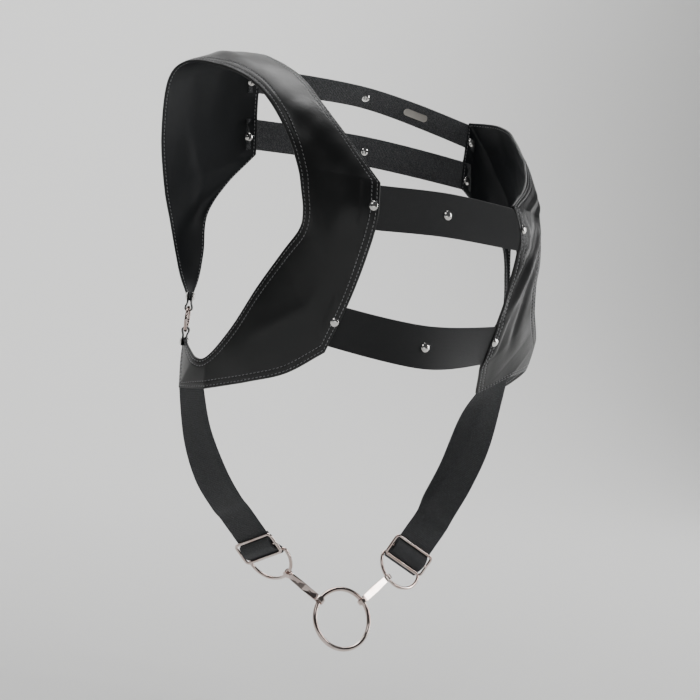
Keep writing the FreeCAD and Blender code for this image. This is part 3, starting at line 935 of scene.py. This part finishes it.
# Double-cap rivets: a domed cap on each face of the stack they clamp.
def rivets(name, places, *nodes):
    points, ups = [], []
    for centre, normal, grip in places:
        for face in (1, -1):
            points.append(centre + normal * (face * grip / 2))
            ups.append(normal * face)
    thing = guide(name, [np.array(points)], [np.array(ups)], loose=True)
    grown(thing, "at", {"Piece": cap, "Material": finishes["rivet"]})
    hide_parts(*nodes)
    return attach(thing, "harness")


bandLooks = {
    "front": {"finish": "front", "ribs": 1.25, "ribDepth": 0.035, "across": 150, "pitch": 2.5},
    "back": {"finish": "back", "ribs": 0, "across": 24, "pitch": 2.5, "body": 0.72,
             "lift": 0.52, "width": 1.75, "height": 0.34, "knuckles": 14, "rows": 57,
             "spread": 0.16, "seed": 8},
}
bands = {}
for name in bandPlaces:
    look = bandLooks[name.split("_")[0]]
    ribbon, centres = bandRibbon(name)
    bands[name] = ribbon
    thing = webbing(name.replace("_", "-"), ribbon, build["band"], look["pitch"], look)
    material = finishes[look["finish"]]
    finish(thing, "harness", look["finish"] + "_webbing", material, name)
    rivets(name.replace("band", "rivets").replace("_", "-"), centres, name.replace("band", "rivets"))
    if look["finish"] == "back":
        width = bandWidths[name]
        values = dict(look, rib=width - 1.2, pitch=1.7)
        ribs = weave(name.replace("_", "-") + "-weave", ribbon, values, material, 2.0, 4.0)
        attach(ribs, "harness")
print("bands made")


# A blank plate with rounded ends and a soft edge, standing on the upper back band.
def plateMesh():
    values = {"place": 53.0, "length": 28.0, "height": 7.5, "thickness": 1.0, "edge": 0.25}
    band = bands["back_upper_band"]
    ends = band.point(np.array([3.0, 4.0]), np.array([0.5, 0.5]))
    place = np.array(3 + values["place"] / np.linalg.norm(ends[1] - ends[0]))
    centre = band.point(place, 0.5, -build["band"] / 2)
    normal = -band.frame(place)[3]
    along = square(band.point(place + 0.1, 0.5) - band.point(place, 0.5), normal)
    up = np.cross(normal, along)
    turns = np.linspace(-math.pi / 2, math.pi / 2, 17)
    radius = values["height"] / 2
    reach = values["length"] / 2 - radius
    rings = []
    edge, thick = values["edge"], values["thickness"]
    for shrink, height in ((0, 0), (0, thick - edge), (edge * 0.3, thick - edge * 0.3),
                           (edge, thick), (radius * 0.55, thick + 0.04)):
        size = radius - shrink
        outline = [(reach + size * math.cos(t), size * math.sin(t)) for t in turns]
        outline += [(-x, -y) for x, y in outline]
        rings.append([centre + along * x + up * y + normal * height for x, y in outline])
    count = len(rings[0])
    faces = [tuple(range(count))[::-1], tuple(range(4 * count, 5 * count))] + ringFaces(5, count)
    return meshObject("plate", np.array(rings), faces)


finish(plateMesh(), "harness", "plate_metal", finishes["plate"], "plate")


sideRing = {"centre": (178.0, 33.0, -244.0), "lean": 25.0, "opening": 20.0, "wire": 3.0,
            "tail": 10.0, "loop": 15.0, "ply": 1.2, "gap": 0.3}


def ringPath(centre, face, radius, count):
    face = unit(face)
    first = square(np.array([0.0, 0.0, 1.0]), face)
    second = np.cross(face, first)
    turns = np.linspace(0, 2 * math.pi, count, endpoint=False)[:, None]
    return centre + radius * (np.cos(turns) * first + np.sin(turns) * second)


for side, sign in signs.items():
    values = sideRing
    centre = np.array(values["centre"]) * (sign, 1, 1)
    lean = math.radians(values["lean"])
    face = np.array([sign * math.cos(lean), math.sin(lean), 0])
    radius = (values["opening"] + values["wire"]) / 2
    path = ringPath(centre, face, radius, 72)
    ring = tubeMesh("side-ring-" + side, path, values["wire"] / 2, face, closed=True)
    body = "side_ring_" + side
    finish(ring, body, "polished_metal", finishes["metal"], "side_ring_" + side)
    across = unit(np.cross(face, (0, 0, 1)))
    tailRivets = []
    for up, which in ((-1, "front"), (1, "back")):
        rise = np.array([0, 0, float(up)])
        sag = radius - math.sqrt(radius ** 2 - (values["tail"] / 2) ** 2)
        wire = centre + rise * (radius - sag / 2)
        loop = values["wire"] / 2 + sag / 2 + 2 * values["gap"] + values["ply"] / 2
        apart = stack / 2 + values["ply"] / 2
        points = [wire + face * apart + rise * values["loop"],
                  wire + face * apart + rise * loop * 1.6]
        for step in range(7):
            turn = math.radians(25 - 230 * step / 6)
            points.append(wire + (face * math.cos(turn) + rise * math.sin(turn)) * loop)
        points += [wire - face * apart + rise * loop * 1.6,
                   wire - face * apart + rise * values["loop"]]
        half = across * (values["tail"] / 2)
        strip = Ribbon([p - half for p in points], [p + half for p in points])
        name = which + "-tail-loop-" + side
        tail = webbing(name, strip, values["ply"], 0.8, {"across": 12, "ribs": 0})
        finish(tail, "harness", "leather", finishes["leather"], name.replace("-", "_"))
        point = wire + rise * (values["loop"] - 9.0 * 0.45)
        tailRivets.append((point, face, stack + 2 * values["ply"]))
    rivets("tail-rivets-" + side, tailRivets, "tail_rivets_" + side)
print("rings and tails made")


straps = {
    "right": {
        "rear": 2.0,
        "middle": [(-163, 4, -350), (-144, 4, -388), (-124, 5, -414)],
        "across": [(13, -34, 17), (18, -31, 17), (16, -32, 20)],
        "down": (0.66, -0.12, -0.74), "bar": (0.32, -0.77, 0.55), "crease": None,
    },
    "left": {
        "rear": 4.0,
        "middle": [(117, -36, -325), (114, -18, -370), (106, -6, -405)],
        "across": [(-36, 9, 12), (-35, 12, 16), (-33, 8, 18)],
        "down": (-0.47, 0.08, -0.88), "bar": (-0.85, 0.12, 0.50),
        "crease": ((2.0, 0.45), (6.2, 0.97), -0.42),
    },
}
rig = {
    "strapWidth": 40.0, "strap": 1.6, "tuck": 14.0, "gap": 0.3,
    "sliderWire": 3.0, "sliderHeight": 25.0, "travel": 30.0, "sliderSide": 1.8,
    "dWire": 3.4, "dDepth": 28.0, "dSide": 2.2, "ringWire": 4.6, "ringOpening": 54.4,
    "linkWidth": 7.4, "linkEye": 5.0, "linkPly": 1.2, "linkGap": 1.2, "linkAngle": 37.5,
}
slider = np.array([84.5, 3.0, -458.5])
ringCentre = np.array([0.0, -31.6, -517.0])
ringLean = math.radians(25.0)
ringRise = np.array([0, math.sin(ringLean), math.cos(ringLean)])
ringFace = np.array([0, -math.cos(ringLean), math.sin(ringLean)])
ringRadius = (rig["ringOpening"] + rig["ringWire"]) / 2
strapDepth = rig["sliderWire"] / 2 + rig["gap"] + rig["strap"] / 2
dDepth = strapDepth + rig["strap"] / 2 + 2 * rig["gap"] + rig["dWire"] / 2
dDrop = rig["sliderHeight"] / 2 - rig["sliderWire"] / 2
dHalf = rig["strapWidth"] / 2 + rig["dSide"] + rig["dWire"] / 2


def loopFrame(side):
    strap = straps[side]
    centre = slider * (signs[side], 1, 1)
    down = unit(strap["down"])
    bar = square(np.array(strap["bar"]), down)
    return centre, down, bar, unit(np.cross(bar, down)) * signs[side]


# The whole strap, from between the leather to the end that is sewn back.
def strapRibbon(side):
    strap = straps[side]
    ribbon = crescents[side]
    lift = (build["outer"] - build["lining"]) / 2
    rear = strap["rear"]
    front = ribbon.stationAcross(rear, rig["strapWidth"], 1)
    insets = (rig["tuck"], rig["tuck"] / 2, 0)
    edgeA = [ribbon.inset(np.array(rear), inset, lift) for inset in insets]
    edgeB = [ribbon.inset(np.array(front), inset, lift) for inset in insets]
    centre, down, bar, face = loopFrame(side)
    reach = rig["sliderHeight"] / 2 + rig["travel"]
    top = centre - down * reach - face * strapDepth
    middles = [np.array(p, float) for p in strap["middle"]] + [top]
    across = [np.array(p, float) for p in strap["across"]] + [bar]
    loop = rig["dWire"] / 2 + 2 * rig["gap"] + rig["strap"] / 2
    back = strapDepth + rig["strap"] + rig["gap"]
    path = [(-reach / 2, strapDepth), (0, strapDepth), (dDrop, strapDepth)]
    for step in range(1, 7):
        turn = math.radians(90 - 30 * step)
        path.append((dDrop + loop * math.cos(turn), dDepth - loop * math.sin(turn)))
    path += [(0, back), (-rig["sliderHeight"] / 2, back)]
    middles += [centre + down * along - face * deep for along, deep in path]
    across += [bar] * len(path)
    for middle, direction in zip(middles, across):
        half = unit(direction) * (rig["strapWidth"] / 2)
        edgeA.append(middle - half)
        edgeB.append(middle + half)
    return Ribbon(edgeA, edgeB, relief=creaseOf(strap["crease"]))


# The lengthwise fold of a strap: what lies beyond the fold line tips back.
def creaseOf(crease):
    if not crease:
        return None
    (fromPlace, fromShare), (toPlace, toShare), slope = crease

    def give(ribbon, places, shares):
        t = np.clip((places - fromPlace) / (toPlace - fromPlace), 0, 1)
        beyond = (shares - (fromShare + (toShare - fromShare) * t)) * ribbon.width(places)
        fade = smoothStep(0, 0.25, t) * (1 - smoothStep(0.75, 1, t))
        soft = np.sqrt(beyond ** 2 + 1.0) + beyond
        return -0.5 * slope * soft * fade

    return give


strapLook = {"across": 30, "ribs": 0, "pitch": 0.34, "crossRib": (1.8, 0.14), "body": 0.85}


# A closed rectangle path with round corners.
def roundedLoop(centre, along, across, halfLong, halfWide, corner, steps=7):
    points = []
    for quarter, (sx, sy) in enumerate(((1, 1), (-1, 1), (-1, -1), (1, -1))):
        middle = centre + along * (sx * (halfLong - corner)) + across * (sy * (halfWide - corner))
        for step in range(steps):
            turn = math.pi / 2 * (quarter + step / (steps - 1))
            points.append(middle + corner * (along * math.cos(turn) + across * math.sin(turn)))
    return np.array(points)


# More points on the long straight spans of a path.
def subdivided(points, pitch, closed=True):
    ends = list(zip(points, np.roll(points, -1, axis=0))) if closed else list(zip(points, points[1:]))
    out = []
    for here, ahead in ends:
        steps = max(1, int(np.linalg.norm(ahead - here) / pitch))
        out += [here + (ahead - here) * (i / steps) for i in range(steps)]
    if not closed:
        out.append(points[-1])
    return np.array(out)


def ringContact(side):
    angle = math.radians(rig["linkAngle"])
    outward = np.array([signs[side] * math.cos(angle), 0, 0]) + ringRise * math.sin(angle)
    return ringCentre + outward * ringRadius, np.cross(ringFace, outward)


def dRingPlace(side):
    centre, down, bar, front = loopFrame(side)
    barCentre = centre + down * dDrop - front * dDepth
    return barCentre, bar, square(ringContact(side)[0] - barCentre, bar)


def dRingContact(side):
    barCentre, bar, hang = dRingPlace(side)
    arcCentre = barCentre + hang * (rig["dDepth"] - dHalf)
    pull = ringContact(side)[0] - arcCentre
    outward = unit(bar * np.dot(pull, bar) + hang * np.dot(pull, hang))
    return arcCentre + outward * dHalf, np.cross(np.cross(bar, hang), outward)


def dRingMesh(side):
    barCentre, bar, hang = dRingPlace(side)
    corner = rig["dWire"] * 0.9
    leg = rig["dDepth"] - dHalf
    points = []
    for turn in np.linspace(0, math.pi, 49):
        points.append(barCentre + hang * (leg + dHalf * math.sin(turn)) + bar * (dHalf * math.cos(turn)))
    for sign, turns in ((-1, np.linspace(0, 1, 7)), (1, np.linspace(1, 0, 7))):
        middle = barCentre + bar * (sign * (dHalf - corner)) + hang * corner
        for t in turns:
            turn = t * math.pi / 2
            points.append(middle + corner * (bar * (sign * math.cos(turn)) - hang * math.sin(turn)))
    path = subdivided(np.array(points), 2.0)
    return tubeMesh("d-ring-" + side, path, rig["dWire"] / 2, np.cross(bar, hang), closed=True)


# A wire frame with a middle bar.
def sliderMesh(side):
    centre, down, bar, front = loopFrame(side)
    radius = rig["sliderWire"] / 2
    halfWide = rig["strapWidth"] / 2 + rig["sliderSide"] + radius
    halfHigh = rig["sliderHeight"] / 2 - radius
    outline = subdivided(roundedLoop(centre, bar, down, halfWide, halfHigh, 3.2), 2.0)
    outer = tubeMesh("slider-" + side, outline, radius, front, closed=True)
    reach = bar * (halfWide - radius * 0.4)
    line = subdivided(np.array([centre - reach, centre + reach]), 2.0, closed=False)
    middle = tubeMesh("middle-bar", line, radius * 0.98, front)
    return joined("slider-" + side, [outer, middle])


# The turn of strap over the slider's middle bar.
def turnRibbon(side):
    centre, down, bar, front = loopFrame(side)
    radius = rig["sliderWire"] / 2
    over = radius + rig["gap"] + rig["strap"] / 2
    foot = rig["sliderHeight"] / 2 - radius - radius - rig["gap"] - rig["strap"] * 0.8
    low = strapDepth - rig["strap"] - rig["gap"]
    path = [(-foot, -low), (-foot * 0.55, over * 0.55), (0, over), (foot * 0.55, over * 0.55),
            (foot, -low)]
    points = [centre + down * along + front * lift for along, lift in path]
    half = bar * (rig["strapWidth"] / 2)
    return Ribbon([p - half for p in points], [p + half for p in points],
                  outside=signs[side])


# A folded metal strip: two plies together, opened round the wire at both ends.
def linkMesh(side):
    top, topAlong = dRingContact(side)
    low, lowAlong = ringContact(side)
    pull = unit(low - top)
    length = np.linalg.norm(low - top)
    wide = {"top": square(topAlong, pull), "low": square(lowAlong, pull)}
    if np.dot(wide["top"], wide["low"]) < 0:
        wide["low"] = -wide["low"]
    ply = rig["linkPly"]
    eyes = [rig["dWire"] / 2 + rig["linkGap"] + ply / 2, rig["ringWire"] / 2 + rig["linkGap"] + ply / 2]
    path = []
    for turn in np.linspace(-150, 150, 25):
        t = math.radians(turn)
        path.append((-eyes[0] * math.cos(t), eyes[0] * math.sin(t)))
    neck = ply / 2 + 0.06
    path += [(eyes[0] * 1.35, neck), (length * 0.5, neck), (length - eyes[1] * 1.3, neck)]
    for turn in np.linspace(150, -150, 25):
        t = math.radians(turn)
        path.append((length + eyes[1] * math.cos(t), eyes[1] * math.sin(t)))
    path += [(length - eyes[1] * 1.3, -neck), (length * 0.5, -neck), (eyes[0] * 1.35, -neck)]
    path = np.array(path)
    ahead = unit(np.roll(path, -1, axis=0) - np.roll(path, 1, axis=0))
    sideways = np.stack([-ahead[:, 1], ahead[:, 0]], axis=1)
    share = np.clip(path[:, 0] / length, 0, 1)
    middleness = smoothStep(0.04, 0.16, share) * (1 - smoothStep(0.84, 0.96, share))
    width = rig["linkEye"] + (rig["linkWidth"] - rig["linkEye"]) * middleness
    bevel = 0.22
    rings = []
    for i in range(len(path)):
        across = unit(wide["top"] * (1 - share[i]) + wide["low"] * share[i])
        thick = np.cross(pull, across)
        at = top + pull * path[i, 0] + thick * path[i, 1]
        out = pull * sideways[i, 0] + thick * sideways[i, 1]
        half = width[i] / 2
        loop = [(-half, -ply / 2 + bevel), (-half, ply / 2 - bevel), (-half + bevel, ply / 2),
                (half - bevel, ply / 2), (half, ply / 2 - bevel), (half, -ply / 2 + bevel),
                (half - bevel, -ply / 2), (-half + bevel, -ply / 2)]
        rings.append([at + across * x + out * y for x, y in loop])
    faces = ringFaces(len(rings), 8, closed=True)
    return meshObject("link-" + side, np.array(rings), faces, smooth=False)


for side in signs:
    strip = strapRibbon(side)
    strap = webbing("strap-" + side, strip, rig["strap"], strapLook["pitch"], strapLook)
    finish(strap, None, "strap_webbing", finishes["strap"], "strap_" + side, "strap_end_" + side)
    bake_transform(strap)
    body = "slider_" + side
    finish(sliderMesh(side), body, "polished_metal", finishes["metal"], "slider_" + side)
    turn = turnRibbon(side)
    over = webbing("slider-turn-" + side, turn, rig["strap"], 0.6, {"across": 24, "ribs": 0})
    finish(over, body, "strap_webbing", finishes["strap"], "slider_turn_" + side)
    shares = np.linspace(0.08, 0.92, 24)
    places = np.full(24, 0.95)
    seam = sew("slider-seam-" + side, [turn.point(places, shares, rig["strap"] * 0.52)],
               [turn.frame(places)[3]], "strap_webbing")
    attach(seam, body)
    finish(dRingMesh(side), "d_ring_" + side, "polished_metal", finishes["metal"], "d_ring_" + side)
    finish(linkMesh(side), "links", "polished_metal", finishes["metal"], "link_" + side)
    print("strap side made")

path = ringPath(ringCentre, ringFace, ringRadius, 128)
ring = tubeMesh("centre-ring", path, rig["ringWire"] / 2, ringFace, closed=True, sides=32)
finish(ring, "centre_ring", "polished_metal", finishes["metal"], "centre_ring")
print("hardware made")


# A pale floor that turns up into a wall behind.
def sweep():
    values = {"level": -0.62, "front": -2.6, "back": 2.4, "round": 1.2, "side": 4.0, "top": 3.2}
    line = [(values["front"], values["level"]), (values["back"] - values["round"], values["level"])]
    for step in range(1, 13):
        turn = math.pi / 2 * step / 12
        line.append((values["back"] - values["round"] + values["round"] * math.sin(turn),
                     values["level"] + values["round"] * (1 - math.cos(turn))))
    line.append((values["back"], values["top"]))
    points = []
    for y, z in line:
        points += [(-values["side"], y, z), (values["side"], y, z)]
    faces = [(2 * i, 2 * i + 1, 2 * i + 3, 2 * i + 2) for i in range(len(line) - 1)]
    data = bpy.data.meshes.new("floor")
    data.from_pydata(points, [], faces)
    data.polygons.foreach_set("use_smooth", [True] * len(data.polygons))
    data.materials.append(finishes["floor"])
    thing = bpy.data.objects.new("floor", data)
    bpy.context.scene.collection.objects.link(thing)
    return thing


view = {"azimuth": -26.0, "elevation": 3.0, "roll": 8.0, "distance": 1.35,
        "target": (-0.017, 0.0, -0.254), "lens": 70.0}


def camera():
    azimuth, elevation = math.radians(view["azimuth"]), math.radians(view["elevation"])
    roll = math.radians(view["roll"])
    away = np.array([math.sin(azimuth) * math.cos(elevation),
                     -math.cos(azimuth) * math.cos(elevation), math.sin(elevation)])
    right = unit(np.cross(-away, (0, 0, 1)))
    up = np.cross(right, -away)
    right, up = (math.cos(roll) * right + math.sin(roll) * up,
                 math.cos(roll) * up - math.sin(roll) * right)
    place = np.array(view["target"]) + away * view["distance"]
    thing = bpy.data.objects.new("camera", bpy.data.cameras.new("camera"))
    thing.data.lens = view["lens"]
    matrix = np.eye(4)
    matrix[:3, 0], matrix[:3, 1], matrix[:3, 2], matrix[:3, 3] = right, up, away, place
    thing.matrix_world = Matrix(matrix.tolist())
    bpy.context.scene.collection.objects.link(thing)
    bpy.context.scene.camera = thing


def softbox(name, place, aim, size, power, colour=(1, 1, 1)):
    light = bpy.data.lights.new(name, "AREA")
    light.shape = "RECTANGLE"
    light.size, light.size_y = size
    light.energy = power
    light.color = colour
    thing = bpy.data.objects.new(name, light)
    thing.location = place
    direction = Vector(aim) - Vector(place)
    thing.rotation_euler = direction.to_track_quat("-Z", "Y").to_euler()
    bpy.context.scene.collection.objects.link(thing)


sweep()
camera()
softbox("key", (-1.5, -1.3, 1.5), (0, 0, -0.1), (0.9, 0.9), 7)
softbox("side", (2.1, -1.1, 0.5), (0.1, 0, -0.2), (0.35, 1.8), 26)
softbox("rim", (2.2, 0.4, -0.1), (0.12, 0, -0.2), (0.5, 1.6), 14)
softbox("top", (0.1, 0.2, 1.7), (0, 0, -0.1), (0.9, 0.7), 12)
softbox("low", (-0.5, -2.1, -0.5), (0, 0, -0.45), (1.4, 0.35), 3)
softbox("wall", (0.0, 0.9, 1.9), (0, 2.4, 0.2), (3.0, 0.8), 75)
world = bpy.data.worlds.new("studio")
world.use_nodes = True
world.node_tree.nodes["Background"].inputs["Color"].default_value = (0.62, 0.64, 0.67, 1)
world.node_tree.nodes["Background"].inputs["Strength"].default_value = 0.10
bpy.context.scene.world = world
print("stage made")
